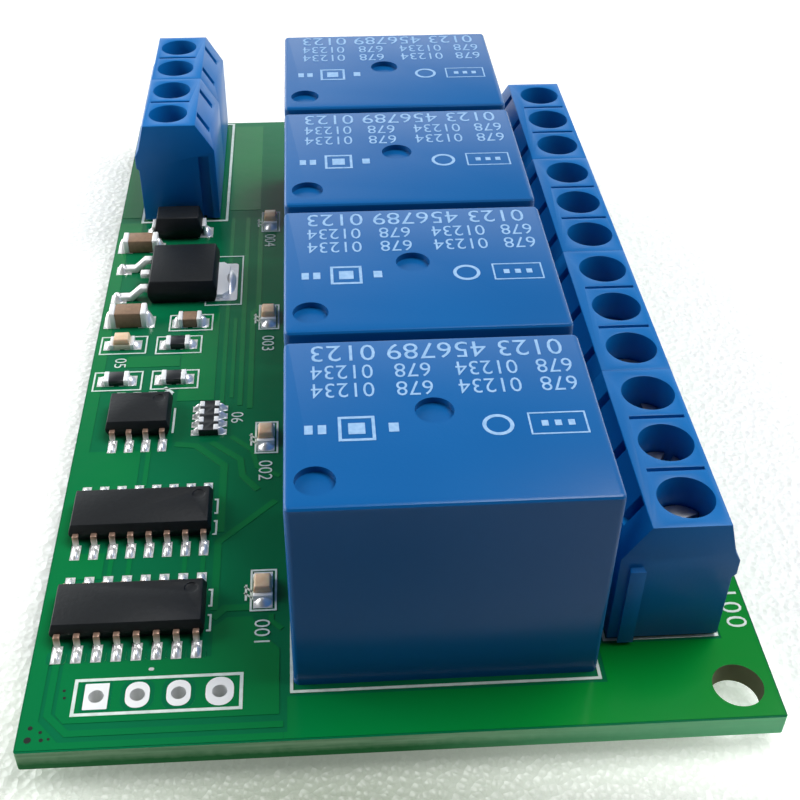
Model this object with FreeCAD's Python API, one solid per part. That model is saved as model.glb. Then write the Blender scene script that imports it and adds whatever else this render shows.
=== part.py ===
import FreeCAD, Part
import math
import os

os.makedirs("parts", exist_ok=True)
V = FreeCAD.Vector

# A four-channel relay module board. Millimetres, +X right, +Y back, +Z up.
# Plan positions below are measured from the board's front left corner, and
# heights above the board are measured from its top face. The finished model
# has its origin under the middle of the board, at the tips of the solder tails.

# Board
board_thickness = 1.6
board_corner_radius = 0.2
board_right_margin = 2.45
board_back_margin = 0.48
tail_length = 1.2
mount_hole_radius = 1.6
mount_hole_from_side = 2.4
mount_hole_from_end = 2.5

# Relays, in one column from front to back
relay_count = 4
relay_x = 16.65
relay_y = 4.05
relay_length = 19.15
relay_width = 15.4
relay_height = 15.25
relay_gap = 0.89
relay_wall = 0.9
relay_roof = 1.2
relay_edge_break = 0.4
relay_top_break = 0.3
relay_dimple_sides = 16
relay_dimple_radius = 1.2
relay_dimple_depth = 0.45
relay_dimple_a = (1.8, 2.3)
relay_dimple_b = (9.1, 8.1)
relay_fit = 0.08
relay_base_recess = 0.7
relay_pin_depth = 2.0
relay_common_x = 1.45
relay_coil_x = 3.4
relay_throw_from_end = 3.55
relay_pin_from_side = 1.7
relay_contact_pin = (1.0, 0.5)
relay_coil_pin = (0.6, 0.6)

# Screw terminals
pole_pitch = 5.08
terminal_width = 7.5
terminal_height = 10.25
terminal_chamfer = (1.6, 2.65)
terminal_lip_height = 7.1
terminal_lip_drop = 1.2
terminal_lip_out = 0.25
terminal_brow = (1.05, 0.4)
terminal_brow_height = 7.85
terminal_edge_break = 0.15
terminal_standoff = 0.3
terminal_skid_inset = 0.4
terminal_skid_width = 0.9
screw_from_chamfer_wall = 4.25
screw_well_radius = 1.8
screw_well_sides = 18
screw_well_floor = 5.95
pole_cavity_width = 3.96
pole_cavity_back = 2.75
pole_cavity_front = 2.05
wire_entry_width = 3.0
wire_entry_bottom = 1.7
wire_entry_top = 5.0
test_slot_length = 2.0
test_slot_width = 0.85
test_slot_depth = 0.8
test_slot_along = 0.64
pole_groove_width = 0.3
pole_groove_depth = 0.3
pole_groove_start = 2.4
pole_groove_end = 6.1
dovetail_start = 0.7
dovetail_width = 0.8
dovetail_height = 6.9
dovetail_depth = 0.45
dovetail_flare = 0.12
dovetail_fit = 0.05
output_terminal_y = 6.43
output_blocks = 4
output_poles = 3
relay_to_terminal = 1.05
input_terminal_x = 2.2
input_terminal_y = 60.2
input_blocks = 2
input_poles = 2

# Metal inside the terminals
screw_head_radius = 1.65
screw_head_top = 7.95
screw_head_height = 1.5
screw_slot_width = 0.6
screw_slot_depth = 0.8
screw_head_sides = 10
screw_shank_radius = 1.25
screw_shank_sides = 6
screw_shank_bottom = 5.0
clamp_side = 3.8
clamp_bottom = 1.1
clamp_top = 5.9
clamp_wall = 0.5
clamp_roof = 0.8
strip_thickness = 0.5
strip_width = 1.6
strip_bar_top = 4.95
strip_leg_gap = 0.1
strip_foot_z = 0.35
strip_tail_offset = 0.5
strip_tail_width = 0.9

# Solder joints under the board
solder_cone_sides = 6
solder_cone_radius = 1.15
solder_cone_height = 0.85
solder_cone_lip = 0.06

# Empty four-way header
header_x = 4.44
header_y = 3.85
header_pitch = 2.54
header_count = 4
header_bore_radius = 0.475
header_plating = 0.08
header_drill_sides = 12
header_pad_corner = 0.45
header_pad_thickness = 0.05
header_pad = (1.5, 1.95)
header_pad_large = (1.75, 2.15)

# Small outline chips, gull-wing leads on a 1.27 pitch
lead_pitch = 1.27
lead_width = 0.42
lead_thickness = 0.2
lead_reach = 3.05
lead_foot = 0.55
chip_width = 3.9
chip_top_inset = 0.2
chip_height = 1.45
chip_standoff = 0.1
chip_waist = 0.85
chip_mark_radius = 0.45
chip_mark_depth = 0.08
chip_mark_inset = 0.75
chip_mark_sides = 10
chip_long_length = 9.9
chip_short_length = 4.9
front_chip = (5.98, 10.15)
rear_chip = (5.98, 19.05)
small_chip = (4.75, 30.05)

# Voltage regulator, leads to the left and heat tab to the right
regulator_centre = (7.0, 49.3)
regulator_length = 6.1
regulator_width = 6.6
regulator_height = 2.3
regulator_draft = 0.25
regulator_waist = 1.15
regulator_lead_pitch = 2.29
regulator_lead_width = 0.75
regulator_lead_thickness = 0.5
regulator_lead_reach = 2.8
regulator_foot = 1.1
regulator_stub = 0.85
regulator_tab_out = 1.0
regulator_tab_under = 3.6
regulator_tab_width = 5.3
regulator_tab_thickness = 0.5
regulator_tab_corner = 0.6

# Protection diode, long side across the board
diode_centre = (5.95, 57.95)
diode_length = 4.4
diode_width = 2.8
diode_height = 2.25
diode_standoff = 0.15
diode_inset = 0.25
diode_waist = 1.15
diode_strap_width = 1.5
diode_strap_thickness = 0.2
diode_foot = 0.9

# Two-ended chip parts: centre x, centre y, length, width, height, end length
front_capacitor = (2.55, 43.4, 3.2, 1.6, 1.5, 0.5)
rear_capacitor = (2.5, 55.4, 3.2, 1.6, 1.3, 0.5)
small_capacitor = (7.85, 43.0, 2.0, 1.25, 0.9, 0.4)
resistor_places = ((2.35, 35.2), (7.0, 35.2), (7.0, 39.95))
resistor_size = (2.0, 1.25, 0.55, 0.4)
led_size = (2.0, 1.25, 0.5, 0.3)
led_lens_length = 1.4
led_lens_height = 0.5
led_lens_draft = 0.1
power_led = (2.3, 40.1)
channel_led_x = 14.62
channel_led_rows = (12.0, 27.6, 43.6, 59.6)
end_cap_proud = 0.03
array_centre = (10.15, 29.85)
array_length = 3.6
array_width = 1.5
array_height = 0.6
array_pitch = 0.95
array_ways = 4
array_end_width = 0.6
array_end_depth = 0.35

# Solder on the board's top face
solder_toe = 0.5
solder_rise = 0.6
solder_side = 0.12

# Sizes that follow from the ones above
tip_z = 0.0
board_bottom = tip_z + tail_length
board_top = board_bottom + board_thickness
output_terminal_x = relay_x + relay_length + relay_to_terminal
board_width = output_terminal_x + terminal_width + board_right_margin
input_row_end = input_terminal_y + input_blocks * input_poles * pole_pitch
output_row_end = output_terminal_y + output_blocks * output_poles * pole_pitch
relay_pitch = relay_width + relay_gap
relay_row_end = relay_y + relay_count * relay_pitch - relay_gap
board_length = max(input_row_end, output_row_end, relay_row_end) + board_back_margin


# Helpers
def place(shape, x=0.0, y=0.0, z=0.0):
    """Move a shape from board coordinates to the model's own frame."""
    moved = shape.copy()
    moved.translate(V(x - board_width / 2, y - board_length / 2, board_top + z))
    return moved


def box(x0, x1, y0, y1, z0, z1):
    """A block between two corners."""
    return Part.makeBox(x1 - x0, y1 - y0, z1 - z0, V(x0, y0, z0))


def cylinder(radius, z0, z1, x=0.0, y=0.0):
    """An upright cylinder."""
    return Part.makeCylinder(radius, z1 - z0, V(x, y, z0), V(0, 0, 1))


def faceted(sides, radius, z0, z1, x=0.0, y=0.0, tip_radius=None):
    """An upright prism, or a tapered one, with a few flat sides."""
    rings = []
    for ring_radius, z in ((radius, z0), (radius if tip_radius is None else tip_radius, z1)):
        ring = []
        for i in range(sides):
            angle = 2 * math.pi * (i + 0.5) / sides
            ring.append(V(x + ring_radius * math.cos(angle), y + ring_radius * math.sin(angle), z))
        rings.append(ring)
    lower, upper = rings
    outlines = [lower, upper]
    for i in range(sides):
        j = (i + 1) % sides
        outlines.append([lower[i], lower[j], upper[j], upper[i]])
    faces = [Part.Face(Part.makePolygon(outline + [outline[0]])) for outline in outlines]
    return Part.makeSolid(Part.makeShell(faces))


def prism_xz(points, y0, y1):
    """A profile drawn in X and Z, drawn out along Y."""
    corners = [V(px, y0, pz) for px, pz in points]
    corners.append(corners[0])
    face = Part.Face(Part.makePolygon(corners))
    return face.extrude(V(0, y1 - y0, 0))


def prism_yz(points, x0, x1):
    """A profile drawn in Y and Z, drawn out along X."""
    corners = [V(x0, py, pz) for py, pz in points]
    corners.append(corners[0])
    face = Part.Face(Part.makePolygon(corners))
    return face.extrude(V(x1 - x0, 0, 0))


def prism_xy(points, z0, z1):
    """A profile drawn in plan, drawn up along Z."""
    corners = [V(px, py, z0) for px, py in points]
    corners.append(corners[0])
    face = Part.Face(Part.makePolygon(corners))
    return face.extrude(V(0, 0, z1 - z0))


def turned(shape, angle, x=0.0, y=0.0):
    """Turn a copy about an upright axis."""
    copy = shape.copy()
    copy.rotate(V(x, y, 0), V(0, 0, 1), angle)
    return copy


def slab_loft(sections):
    """A moulded block through (length, width, z) rectangles, centred in plan."""
    wires = []
    for length, width, z in sections:
        corners = [
            V(-length / 2, -width / 2, z),
            V(length / 2, -width / 2, z),
            V(length / 2, width / 2, z),
            V(-length / 2, width / 2, z),
            V(-length / 2, -width / 2, z),
        ]
        wires.append(Part.makePolygon(corners))
    return Part.makeLoft(wires, True, True)


def edges_along(shape, axis, test):
    """Straight edges parallel to an axis whose middle passes a test."""
    found = []
    for edge in shape.Edges:
        direction = edge.tangentAt(edge.FirstParameter)
        middle = edge.CenterOfMass
        if abs(abs(direction.dot(axis)) - 1) < 1e-6 and test(middle):
            found.append(edge)
    return found


def save(name, solids):
    """Write one node as a solid, or as a group of separate solids."""
    shape = solids[0] if len(solids) == 1 else Part.makeCompound(solids)
    shape.exportStep("parts/" + name + ".step")


# Relays
def relay_cover():
    """The open-bottomed cover, with two round dimples in its roof."""
    outer = box(0, relay_length, 0, relay_width, 0, relay_height)
    upright = edges_along(outer, V(0, 0, 1), lambda m: True)
    outer = outer.makeChamfer(relay_edge_break, upright)
    rim = [e for e in outer.Edges if e.BoundBox.ZMin > relay_height - 1e-6]
    outer = outer.makeChamfer(relay_top_break, rim)
    cavity = box(
        relay_wall,
        relay_length - relay_wall,
        relay_wall,
        relay_width - relay_wall,
        -1.0,
        relay_height - relay_roof,
    )
    cover = outer.cut(cavity)
    for dx, dy in (relay_dimple_a, relay_dimple_b):
        floor = relay_height - relay_dimple_depth
        dimple = faceted(relay_dimple_sides, relay_dimple_radius, floor, relay_height + 1, dx, dy)
        cover = cover.cut(dimple)
    return cover


def relay_pin_places():
    """Plan position and section of each pin, from the relay's corner."""
    front = relay_pin_from_side
    back = relay_width - relay_pin_from_side
    throw_x = relay_length - relay_throw_from_end
    return [
        (relay_common_x, relay_width / 2, relay_contact_pin),
        (relay_coil_x, front, relay_coil_pin),
        (relay_coil_x, back, relay_coil_pin),
        (throw_x, front, relay_contact_pin),
        (throw_x, back, relay_contact_pin),
    ]


def relay_pin(dx, dy, section):
    """A flat pin from inside the base down to its cut tail."""
    half_x = section[0] / 2
    half_y = section[1] / 2
    bottom = -board_thickness - tail_length
    top = relay_base_recess + relay_pin_depth
    return box(dx - half_x, dx + half_x, dy - half_y, dy + half_y, bottom, top)


def relay_base():
    """The potted base with the sealed coil and contact set above it."""
    inset = relay_wall + relay_fit
    top = relay_height - relay_roof - relay_fit
    body = box(inset, relay_length - inset, inset, relay_width - inset, relay_base_recess, top)
    for dx, dy, section in relay_pin_places():
        body = body.cut(relay_pin(dx, dy, section))
    return body


cover_shape = relay_cover()
base_shape = relay_base()
relay_pins = []
through_pins = []
for index in range(relay_count):
    ry = relay_y + index * relay_pitch
    number = index + 1
    save("relay_%d_cover" % number, [place(cover_shape, relay_x, ry)])
    save("relay_%d_base" % number, [place(base_shape, relay_x, ry)])
    for dx, dy, section in relay_pin_places():
        relay_pins.append(place(relay_pin(dx, dy, section), relay_x, ry))
        through_pins.append((relay_x + dx, ry + dy, section[0], section[1]))
save("relay_pins", relay_pins)


# Screw terminals: local X runs from the sloped wall to the wire entries
def terminal_section():
    """The housing's cross-section, with slope, brow and lip."""
    slope_x, slope_z = terminal_chamfer
    lip_x = terminal_width
    face_x = terminal_width - terminal_lip_out
    lip_bottom = terminal_lip_height - terminal_lip_drop
    return [
        (0, 0),
        (0, terminal_height - slope_z),
        (slope_x, terminal_height),
        (lip_x - terminal_brow[0], terminal_height),
        (lip_x - terminal_brow[1], terminal_brow_height),
        (lip_x, terminal_lip_height),
        (lip_x, lip_bottom),
        (face_x, lip_bottom - terminal_lip_out),
        (face_x, 0),
    ]


def dovetail(grow, y0, y1, height):
    """The interlocking rib, wider at its free face than at its root."""
    narrow_a = dovetail_start - grow
    narrow_b = dovetail_start + dovetail_width + grow
    points = [
        (narrow_a, y1),
        (narrow_a - dovetail_flare, y0),
        (narrow_b + dovetail_flare, y0),
        (narrow_b, y1),
    ]
    return prism_xy(points, 0, height)


def pole_cuts(y):
    """Everything cut out of the housing for one wire."""
    u = screw_from_chamfer_wall
    face_x = terminal_width - terminal_lip_out
    half = pole_cavity_width / 2
    cuts = []
    well_floor = screw_well_floor - 1
    cuts.append(faceted(screw_well_sides, screw_well_radius, well_floor, terminal_height + 1, u, y))
    cuts.append(box(u - pole_cavity_back, u + pole_cavity_front, y - half, y + half, -1, screw_well_floor))
    half = wire_entry_width / 2
    entry = box(u, face_x + 1, y - half, y + half, wire_entry_bottom, wire_entry_top)
    cuts.append(entry)
    slope_x, slope_z = terminal_chamfer
    normal = V(-slope_z, 0, slope_x).normalize()
    middle = V(slope_x * test_slot_along, y, terminal_height - slope_z * (1 - test_slot_along))
    half_x = test_slot_length / 2
    half_y = test_slot_width / 2
    recess = box(-half_x, half_x, -half_y, half_y, -test_slot_depth, 1.0)
    recess.Placement = FreeCAD.Placement(middle, FreeCAD.Rotation(V(0, 0, 1), normal))
    cuts.append(recess)
    return cuts


def under_housing(length):
    """The space between the housing and the board, beside its two skids."""
    space = box(-1, terminal_width + 1, -1, length + 1, -1, terminal_standoff)
    near = terminal_skid_inset
    far = terminal_width - terminal_lip_out - terminal_skid_inset
    for x0, x1 in ((near, near + terminal_skid_width), (far - terminal_skid_width, far)):
        space = space.cut(box(x0, x1, near, length - near, -2, terminal_height))
    return space


def terminal_housing(poles):
    """One moulded block with its male rib in front and its socket behind."""
    length = poles * pole_pitch
    body = prism_xz(terminal_section(), 0, length)
    top_edges = edges_along(body, V(0, 1, 0), lambda m: m.z > terminal_brow_height - 0.01)
    body = body.makeChamfer(terminal_edge_break, top_edges)
    rib = dovetail(0, -dovetail_depth, 0, dovetail_height)
    body = body.fuse(rib)
    socket = dovetail(dovetail_fit, length - dovetail_depth - dovetail_fit, length + 0.001, dovetail_height + dovetail_fit)
    cuts = [socket, under_housing(length)]
    for pole in range(poles):
        cuts.extend(pole_cuts((pole + 0.5) * pole_pitch))
    for seam in range(1, poles):
        y = seam * pole_pitch
        half = pole_groove_width / 2
        floor = terminal_height - pole_groove_depth
        cuts.append(box(pole_groove_start, pole_groove_end, y - half, y + half, floor, terminal_height + 1))
    return body.cut(cuts)


def clamp_cage():
    """The square wire cage: a tube along X with a tapped roof."""
    half = clamp_side / 2
    cage = box(-half, half, -half, half, clamp_bottom, clamp_top)
    inner = half - clamp_wall
    cage = cage.cut(box(-half - 1, half + 1, -inner, inner, clamp_bottom + clamp_wall, clamp_top - clamp_roof))
    tapped = faceted(screw_shank_sides, screw_shank_radius, clamp_bottom + clamp_wall, clamp_top + 1)
    return cage.cut(tapped)


def clamp_screw(angle):
    """A slotted screw with its shank in the cage's roof."""
    head_bottom = screw_head_top - screw_head_height
    head = faceted(screw_head_sides, screw_head_radius, head_bottom, screw_head_top)
    reach = screw_head_radius + 1
    half = screw_slot_width / 2
    slot = box(-reach, reach, -half, half, screw_head_top - screw_slot_depth, screw_head_top + 1)
    head = head.cut(turned(slot, angle))
    shank = faceted(screw_shank_sides, screw_shank_radius, screw_shank_bottom, head_bottom)
    return head.fuse(shank).removeSplitter()


def contact_strip():
    """The bent strip from the wire bar, behind the cage, down to the tail."""
    half = clamp_side / 2
    bar_top = strip_bar_top
    bar_bottom = bar_top - strip_thickness
    back_inner = -half - strip_leg_gap
    back_outer = back_inner - strip_thickness
    foot_bottom = strip_foot_z
    foot_top = foot_bottom + strip_thickness
    tail_right = -strip_tail_offset + strip_thickness / 2
    points = [
        (half - 0.2, bar_top),
        (back_outer, bar_top),
        (back_outer, foot_bottom),
        (tail_right, foot_bottom),
        (tail_right, foot_top),
        (back_inner, foot_top),
        (back_inner, bar_bottom),
        (half - 0.2, bar_bottom),
    ]
    wide = strip_width / 2
    strip = prism_xz(points, -wide, wide)
    narrow = strip_tail_width / 2
    tail = box(
        tail_right - strip_thickness,
        tail_right,
        -narrow,
        narrow,
        -board_thickness - tail_length,
        foot_bottom,
    )
    return strip.fuse(tail).removeSplitter()


def terminal_row(label, blocks, poles, wall_x, start_y, flipped):
    """A row of blocks; the flipped row has its wire entries to the left."""
    length = poles * pole_pitch
    sign = -1 if flipped else 1
    screws = []
    clamps = []
    strips = []
    housing = terminal_housing(poles)
    cage = clamp_cage()
    strip = contact_strip()
    for block in range(blocks):
        y = start_y + block * length
        shape = housing
        if flipped:
            shape = turned(housing, 180)
            shape.translate(V(0, length, 0))
        save("%s_terminal_%d" % (label, block + 1), [place(shape, wall_x, y)])
        for pole in range(poles):
            px = wall_x + sign * screw_from_chamfer_wall
            py = y + (pole + 0.5) * pole_pitch
            angle = (37 * (block * poles + pole) + 20) % 180
            screws.append(place(clamp_screw(angle), px, py))
            turn = 180 if flipped else 0
            clamps.append(place(turned(cage, turn), px, py))
            strips.append(place(turned(strip, turn), px, py))
            tail_x = px - sign * strip_tail_offset
            through_pins.append((tail_x, py, strip_thickness, strip_tail_width))
    save(label + "_terminal_screws", screws)
    save(label + "_wire_clamps", clamps)
    save(label + "_contact_strips", strips)


terminal_row("output", output_blocks, output_poles, output_terminal_x, output_terminal_y, False)
terminal_row("input", input_blocks, input_poles, input_terminal_x + terminal_width, input_terminal_y, True)


# Through-hole solder: a cone round each tail, under the board
def pin_solder(pin):
    """One cone round the tail, cut to the pin's section."""
    x, y, size_x, size_y = pin
    under = -board_thickness
    tip = math.hypot(size_x, size_y) / 2 + solder_cone_lip
    joint = faceted(solder_cone_sides, tip, under - solder_cone_height, under, x, y, solder_cone_radius)
    half_x = size_x / 2
    half_y = size_y / 2
    return joint.cut(box(x - half_x, x + half_x, y - half_y, y + half_y, under - tail_length, 1))


save("pin_solder", [place(pin_solder(pin)) for pin in through_pins])


# Empty header: plated eyelets with a pad on each face
def cornered_pad(size, corner, x, y, z0, z1):
    """A pad in plan, with its corners cut off by the length given."""
    pad = box(x - size[0] / 2, x + size[0] / 2, y - size[1] / 2, y + size[1] / 2, z0, z1)
    if corner > 0:
        pad = pad.makeChamfer(corner, edges_along(pad, V(0, 0, 1), lambda m: True))
    return pad


header_places = [(header_x + header_pitch * i, header_y) for i in range(header_count)]


def header_eyelet(index):
    """Pad, barrel and pad as one plated piece."""
    x, y = header_places[index]
    size = header_pad_large if index == header_count - 1 else header_pad
    corner = 0.0 if index == 0 else header_pad_corner
    drill = header_bore_radius + header_plating
    top = cornered_pad(size, corner, x, y, 0, header_pad_thickness)
    under = -board_thickness
    bottom = cornered_pad(size, 0.0, x, y, under - header_pad_thickness, under)
    barrel = faceted(header_drill_sides, drill, under, 0, x, y)
    eyelet = top.fuse([barrel, bottom])
    return eyelet.cut(cylinder(header_bore_radius, under - 1, 1, x, y)).removeSplitter()


save("header_plated_holes", [place(header_eyelet(i)) for i in range(header_count)])


# Board, drilled for everything that passes through it
def circuit_board():
    """The laminate with rounded corners and its holes, the soldered ones full to the pin."""
    board = box(0, board_width, 0, board_length, -board_thickness, 0)
    corners = edges_along(board, V(0, 0, 1), lambda m: True)
    board = board.makeFillet(board_corner_radius, corners)
    holes = []
    side = board_width - mount_hole_from_side
    for y in (mount_hole_from_end, board_length - mount_hole_from_end):
        holes.append(cylinder(mount_hole_radius, -board_thickness - 1, 1, side, y))
    for x, y in header_places:
        drill = header_bore_radius + header_plating
        holes.append(faceted(header_drill_sides, drill, -board_thickness - 1, 1, x, y))
    for x, y, size_x, size_y in through_pins:
        half_x = size_x / 2
        half_y = size_y / 2
        holes.append(box(x - half_x, x + half_x, y - half_y, y + half_y, -board_thickness - 1, 1))
    return board.cut(holes)


save("circuit_board", [place(circuit_board())])


# Surface solder is gathered as each part is placed
surface_solder = []


def toe_solder(x, y, width, rise, angle):
    """A sloped bead against an upright end face, opening towards +Y before its turn."""
    points = [
        (0, 0),
        (solder_toe, 0),
        (0, rise),
    ]
    bead = prism_yz(points, -width / 2, width / 2)
    surface_solder.append(place(turned(bead, angle), x, y))


# Chips
def chip_body(length):
    """A moulded body with sloping sides and a round pin-one mark."""
    inset = 2 * chip_top_inset
    top = chip_standoff + chip_height
    body = slab_loft(
        [
            (length - inset, chip_width - inset, chip_standoff),
            (length, chip_width, chip_waist - lead_thickness / 2),
            (length, chip_width, chip_waist + lead_thickness / 2),
            (length - inset, chip_width - inset, top),
        ]
    )
    mark_x = length / 2 - chip_top_inset - chip_mark_inset
    mark_y = chip_width / 2 - chip_top_inset - chip_mark_inset
    mark = faceted(chip_mark_sides, chip_mark_radius, top - chip_mark_depth, top + 1, mark_x, mark_y)
    return body.cut(mark)


def gull_lead():
    """One lead towards -Y, from the body's side to its foot."""
    root = chip_width / 2
    t = lead_thickness
    high = chip_waist - t / 2
    foot_start = lead_reach - lead_foot
    knee = root + 0.4
    points = [
        (-root, high + t),
        (-knee, high + t),
        (-foot_start, t),
        (-lead_reach, t),
        (-lead_reach, 0),
        (-foot_start + t / 2, 0),
        (-knee + t / 2, high),
        (-root, high),
    ]
    return prism_yz(points, -lead_width / 2, lead_width / 2)


def chip(name, centre, length, ways):
    """A body, its two rows of leads and the solder at each foot."""
    x, y = centre
    save(name + "_body", [place(chip_body(length), x, y)])
    leads = []
    lead = gull_lead()
    width = lead_width + 2 * solder_side
    for way in range(ways):
        dx = (way - (ways - 1) / 2) * lead_pitch
        leads.append(place(lead, x + dx, y))
        leads.append(place(turned(lead, 180), x + dx, y))
        toe_solder(x + dx, y - lead_reach, width, lead_thickness * 1.4, 180)
        toe_solder(x + dx, y + lead_reach, width, lead_thickness * 1.4, 0)
    save(name + "_leads", leads)


chip("front_chip", front_chip, chip_long_length, 8)
chip("rear_chip", rear_chip, chip_long_length, 8)
chip("small_chip", small_chip, chip_short_length, 4)


# Voltage regulator
def regulator():
    """Body, heat tab, two formed leads and the cropped middle one."""
    x, y = regulator_centre
    half = regulator_length / 2
    draft = 2 * regulator_draft
    body = slab_loft(
        [
            (regulator_length - draft, regulator_width - draft, 0),
            (regulator_length, regulator_width, regulator_waist - regulator_lead_thickness / 2),
            (regulator_length, regulator_width, regulator_waist + regulator_lead_thickness / 2),
            (regulator_length - draft, regulator_width - draft, regulator_height),
        ]
    )
    wide = regulator_tab_width / 2
    end = half + regulator_tab_out
    cut = regulator_tab_corner
    outline = [
        (half - regulator_tab_under, -wide),
        (end - cut, -wide),
        (end, -wide + cut),
        (end, wide - cut),
        (end - cut, wide),
        (half - regulator_tab_under, wide),
    ]
    tab = prism_xy(outline, 0, regulator_tab_thickness)
    body = body.cut(tab)
    t = regulator_lead_thickness
    high = regulator_waist - t / 2
    reach = half + regulator_lead_reach
    foot = reach - regulator_foot
    points = [
        (-half, high + t),
        (-half - 0.7, high + t),
        (-foot, t),
        (-reach, t),
        (-reach, 0),
        (-foot + t / 2, 0),
        (-half - 0.7 + t / 2, high),
        (-half, high),
    ]
    wide = regulator_lead_width / 2
    lead = prism_xz(points, -wide, wide)
    stub = box(-half - regulator_stub, -half, -wide, wide, high, high + t)
    save("regulator_body", [place(body, x, y)])
    save("regulator_heat_tab", [place(tab, x, y)])
    offsets = (-regulator_lead_pitch, regulator_lead_pitch)
    leads = [place(lead, x, y + dy) for dy in offsets]
    leads.append(place(stub, x, y))
    save("regulator_leads", leads)
    for dy in offsets:
        toe_solder(x - reach, y + dy, regulator_lead_width + 4 * solder_side, solder_rise * 1.1, 90)
    toe_solder(x + end, y, regulator_tab_width - 2 * cut, regulator_tab_thickness, -90)


regulator()


# Protection diode
def diode():
    """Moulded body with a strap folded down each end and under."""
    x, y = diode_centre
    half = diode_length / 2
    t = diode_strap_thickness
    inset = 2 * diode_inset
    top = diode_standoff + diode_height
    body = slab_loft(
        [
            (diode_length - inset, diode_width - inset, diode_standoff),
            (diode_length, diode_width, diode_waist - t / 2),
            (diode_length, diode_width, diode_waist + t / 2),
            (diode_length - inset, diode_width - inset, top),
        ]
    )
    high = diode_waist - t / 2
    out = half + 0.35
    points = [
        (half, high + t),
        (out, high + t),
        (out, 0),
        (out - diode_foot, 0),
        (out - diode_foot, t / 2),
        (out - t, t / 2),
        (out - t, high),
        (half, high),
    ]
    wide = diode_strap_width / 2
    strap = prism_xz(points, -wide, wide)
    save("diode_body", [place(body, x, y)])
    save("diode_straps", [place(turned(strap, a), x, y) for a in (0, 180)])
    width = diode_strap_width + 2 * solder_side
    toe_solder(x + out, y, width, solder_rise, -90)
    toe_solder(x - out, y, width, solder_rise, 90)


diode()


# Two-ended chip parts
def chip_part(centre, size, angle, solder_height=0.75):
    """Ceramic middle and two metal ends, lying along X before its turn."""
    length, width, height, end = size
    half = length / 2
    lift = end_cap_proud
    middle = box(-half + end, half - end, -width / 2, width / 2, lift, lift + height)
    caps = []
    for sign in (-1, 1):
        inner = sign * (half - end)
        outer = sign * half
        x0 = min(inner, outer)
        x1 = max(inner, outer)
        grow = width / 2 + lift
        caps.append(box(x0, x1, -grow, grow, 0, height + 2 * lift))
        direction = angle - 90 * sign
        radians = math.radians(angle)
        ex = centre[0] + outer * math.cos(radians)
        ey = centre[1] + outer * math.sin(radians)
        toe_solder(ex, ey, width, height * solder_height, direction)
    middle = place(turned(middle, angle), centre[0], centre[1])
    caps = [place(turned(cap, angle), centre[0], centre[1]) for cap in caps]
    return middle, caps


capacitor_ends = []
for name, values in (
    ("front_capacitor", front_capacitor),
    ("rear_capacitor", rear_capacitor),
    ("small_capacitor", small_capacitor),
):
    middle, caps = chip_part(values[:2], values[2:], 0)
    save(name, [middle])
    capacitor_ends.extend(caps)
save("capacitor_ends", capacitor_ends)

resistor_bodies = []
resistor_ends = []
for centre in resistor_places:
    middle, caps = chip_part(centre, resistor_size, 0)
    resistor_bodies.append(middle)
    resistor_ends.extend(caps)
save("resistor_bodies", resistor_bodies)
save("resistor_ends", resistor_ends)

# Resistor array: four resistors in one body, ends on the left and right
array_body = box(
    -array_width / 2, array_width / 2, -array_length / 2, array_length / 2, end_cap_proud, array_height
)
array_ends = []
for way in range(array_ways):
    dy = (way - (array_ways - 1) / 2) * array_pitch
    for sign in (-1, 1):
        inner = sign * (array_width / 2 - array_end_depth)
        outer = sign * (array_width / 2 + end_cap_proud)
        x0 = min(inner, outer)
        x1 = max(inner, outer)
        half = array_end_width / 2
        end = box(x0, x1, dy - half, dy + half, 0, array_height + end_cap_proud)
        array_body = array_body.cut(end)
        array_ends.append(place(end, array_centre[0], array_centre[1]))
        toe_solder(array_centre[0] + outer, array_centre[1] + dy, array_end_width, array_height * 0.8, -90 * sign)
save("resistor_array_body", [place(array_body, array_centre[0], array_centre[1])])
save("resistor_array_ends", array_ends)

# Indicator lights: white base, tinted lens and two metal ends
led_bases = []
led_lenses = []
led_ends = []
led_places = [(power_led[0], power_led[1], 0)]
led_places.extend([(channel_led_x, y, 90) for y in channel_led_rows])
for x, y, angle in led_places:
    middle, caps = chip_part((x, y), led_size, angle)
    led_bases.append(middle)
    led_ends.extend(caps)
    lens = slab_loft(
        [
            (led_lens_length, led_size[1], 0),
            (led_lens_length - 2 * led_lens_draft, led_size[1] - 2 * led_lens_draft, led_lens_height),
        ]
    )
    lens_z = led_size[2] + 2 * end_cap_proud
    led_lenses.append(place(turned(lens, angle), x, y, lens_z))
save("led_bases", led_bases)
save("led_lenses", led_lenses)
save("led_ends", led_ends)

save("surface_solder", surface_solder)
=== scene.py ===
import bpy
import math
from mathutils import Matrix, Vector


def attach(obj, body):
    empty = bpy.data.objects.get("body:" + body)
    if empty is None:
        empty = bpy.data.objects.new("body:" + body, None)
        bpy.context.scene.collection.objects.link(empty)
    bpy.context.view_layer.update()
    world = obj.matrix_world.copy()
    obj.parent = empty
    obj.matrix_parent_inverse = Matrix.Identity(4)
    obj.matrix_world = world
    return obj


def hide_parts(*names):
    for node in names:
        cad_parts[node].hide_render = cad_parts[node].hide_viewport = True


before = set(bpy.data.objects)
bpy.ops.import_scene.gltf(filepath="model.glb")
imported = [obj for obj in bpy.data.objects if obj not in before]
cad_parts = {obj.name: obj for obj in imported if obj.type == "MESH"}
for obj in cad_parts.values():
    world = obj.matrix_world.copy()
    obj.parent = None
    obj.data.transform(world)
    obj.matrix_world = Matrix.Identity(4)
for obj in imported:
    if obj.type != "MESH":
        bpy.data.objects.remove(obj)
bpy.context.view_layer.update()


# Camera. A hand-held close view over the front edge of the board, looking down
# the column of relays. The board's plan, relay tops and terminal tops fix its place.
view_right = Vector((0.998262, -0.058801, 0.003819))
view_down = Vector((-0.033891, -0.625974, -0.779107))
view_forward = Vector((0.048203, 0.777624, -0.626879))
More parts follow.
